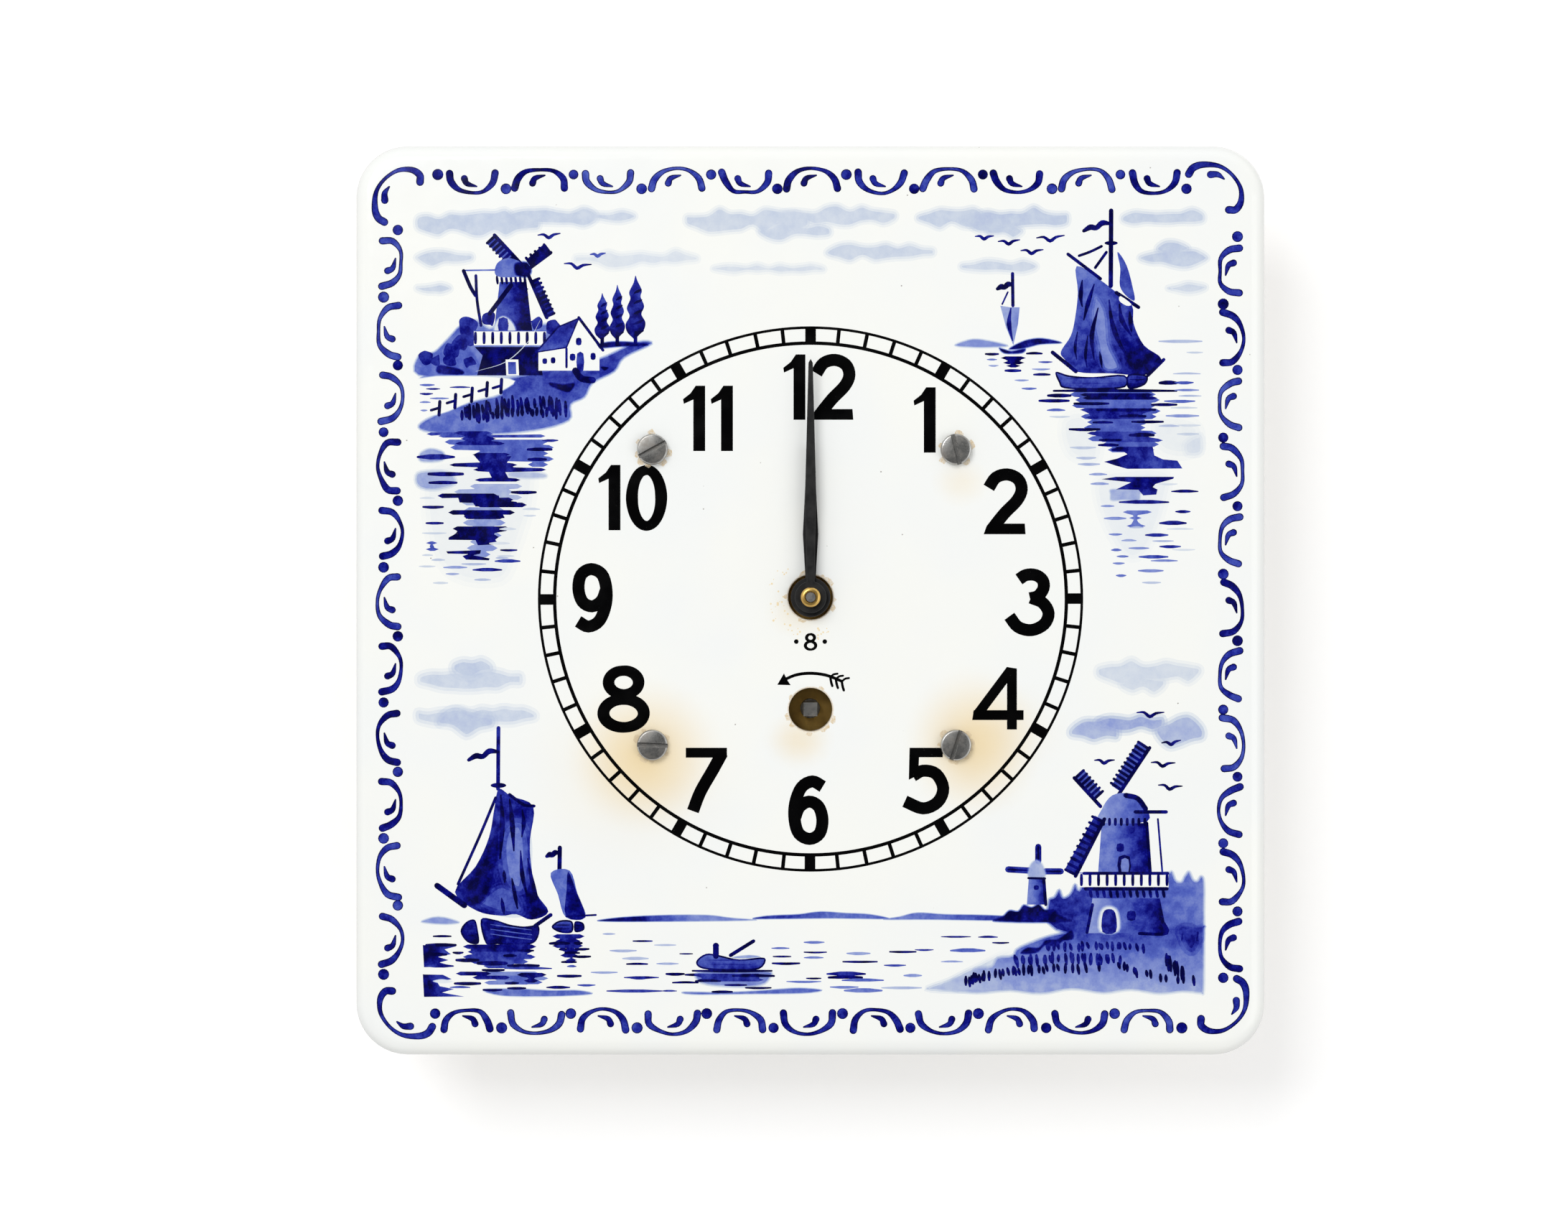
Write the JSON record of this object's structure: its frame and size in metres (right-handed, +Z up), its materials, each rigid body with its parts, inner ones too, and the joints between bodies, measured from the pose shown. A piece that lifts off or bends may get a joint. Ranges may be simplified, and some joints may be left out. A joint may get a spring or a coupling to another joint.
{
  "type": "wall clock",
  "caption": "Square glazed earthenware wall clock with a delft-pattern dial, two black hands, a winding hole and a spring-driven movement in a round tin case.",
  "frame": {"origin": "on the wall plane, straight behind the hand arbor", "axes": "+X to the viewer's right, +Y into the wall, +Z up towards twelve o'clock; the dial faces -Y"},
  "size_m": [0.23, 0.0525, 0.23],
  "materials": {
    "glazed_earthenware": "opaque off-white tin glaze with cobalt and black painting",
    "tinned_steel": "tin-plated sheet",
    "fibre": "pressed brown fibre board",
    "black_enamel": "black lacquered steel",
    "steel": "turned and milled steel",
    "brass": "stamped brass",
    "blued_steel": "tempered spring steel"
  },
  "bodies": {
    "body": {"dial_plate": "glazed_earthenware", "movement_case": "tinned_steel", "fibre_gasket": "fibre", "hanger_plate": "tinned_steel", "hanger_rivet_1": "steel", "hanger_rivet_2": "steel", "case_screw_1": "steel", "case_screw_2": "steel", "case_screw_3": "steel", "case_screw_4": "steel", "case_nut_1": "steel", "case_nut_2": "steel", "case_nut_3": "steel", "case_nut_4": "steel", "pillar_1": "steel", "pillar_2": "steel", "pillar_3": "steel", "pillar_4": "steel", "pillar_nut_1": "brass", "pillar_nut_2": "brass", "pillar_nut_3": "brass", "pillar_nut_4": "brass", "movement_screw_1": "steel", "movement_screw_2": "steel", "movement_screw_3": "steel", "movement_screw_4": "steel", "movement_back_plate": "brass", "movement_front_plate": "brass", "mainspring": "blued_steel", "minute_wheel_stud": "steel"},
    "minute_group": {"centre_arbor": "steel", "centre_wheel": "brass", "cannon_pinion": "steel", "minute_hand": "black_enamel", "hand_nut": "brass"},
    "hour_group": {"hour_wheel": "brass", "hour_hand": "black_enamel"},
    "minute_wheel_group": {"minute_wheel": "brass"},
    "intermediate_group": {"intermediate_arbor": "steel", "intermediate_wheel": "brass"},
    "great_group": {"great_wheel": "brass", "click_screw": "steel", "click_spring": "blued_steel"},
    "winding_group": {"winding_arbor": "steel", "ratchet_wheel": "steel"},
    "click_group": {"click": "steel"},
    "third_group": {"third_arbor": "steel", "third_wheel": "brass"},
    "fourth_group": {"fourth_arbor": "steel", "fourth_wheel": "brass"},
    "escape_group": {"escape_arbor": "steel", "escape_wheel": "steel"},
    "lever_group": {"pallet_lever": "steel", "lever_arbor": "steel"},
    "balance_group": {"balance_staff": "steel", "balance_wheel": "brass", "hairspring": "blued_steel"}
  },
  "joints": [
    {"name": "minute_hand_turn", "type": "hinge", "parent": "body", "child": "minute_group", "pos_m": [0, -0.03, 0], "axis": [0, 1, 0], "continuous": true},
    {"name": "hour_hand_turn", "type": "hinge", "parent": "body", "child": "hour_group", "pos_m": [0, -0.034, 0], "axis": [0, 1, 0], "continuous": true},
    {"name": "minute_wheel_turn", "type": "hinge", "parent": "body", "child": "minute_wheel_group", "pos_m": [0.0094, -0.033, 0.00342], "axis": [0, 1, 0], "continuous": true},
    {"name": "intermediate_turn", "type": "hinge", "parent": "body", "child": "intermediate_group", "pos_m": [-0.00687, -0.02, -0.0122], "axis": [0, 1, 0], "continuous": true},
    {"name": "great_wheel_turn", "type": "hinge", "parent": "body", "child": "great_group", "pos_m": [0, -0.026, -0.0284], "axis": [0, 1, 0], "continuous": true},
    {"name": "third_wheel_turn", "type": "hinge", "parent": "body", "child": "third_group", "pos_m": [-0.01048, -0.025, 0.00879], "axis": [0, 1, 0], "continuous": true},
    {"name": "winding_turn", "type": "hinge", "parent": "great_group", "child": "winding_group", "pos_m": [0, -0.03, -0.0284], "axis": [0, 1, 0], "continuous": true},
    {"name": "click_swing", "type": "hinge", "parent": "great_group", "child": "click_group", "pos_m": [0.0095, -0.0278, -0.0354], "axis": [0, 1, 0], "range_deg": [0, 10], "stiffness_Nm_per_rad": 0.0005, "springref_deg": -5.73},
    {"name": "fourth_wheel_turn", "type": "hinge", "parent": "body", "child": "fourth_group", "pos_m": [0.00016, -0.018, 0.01625], "axis": [0, 1, 0], "continuous": true},
    {"name": "escape_wheel_turn", "type": "hinge", "parent": "body", "child": "escape_group", "pos_m": [0.01068, -0.02, 0.01343], "axis": [0, 1, 0], "continuous": true},
    {"name": "lever_swing", "type": "hinge", "parent": "body", "child": "lever_group", "pos_m": [0.01574, -0.02, 0.00919], "axis": [0, 1, 0], "range_deg": [-6, 6]},
    {"name": "balance_swing", "type": "hinge", "parent": "body", "child": "balance_group", "pos_m": [0.02187, -0.02, 0.00404], "axis": [0, 1, 0], "range_deg": [-135, 135], "stiffness_Nm_per_rad": 0.000009}
  ],
  "couplings": [
    {"joint": "hour_hand_turn", "follows": "minute_hand_turn", "ratio": 0.083333},
    {"joint": "minute_wheel_turn", "follows": "minute_hand_turn", "ratio": -0.33333},
    {"joint": "intermediate_turn", "follows": "minute_hand_turn", "ratio": -0.16667},
    {"joint": "great_wheel_turn", "follows": "minute_hand_turn", "ratio": 0.02381},
    {"joint": "third_wheel_turn", "follows": "minute_hand_turn", "ratio": -8},
    {"joint": "escape_wheel_turn", "follows": "fourth_wheel_turn", "ratio": -10}
  ]
}
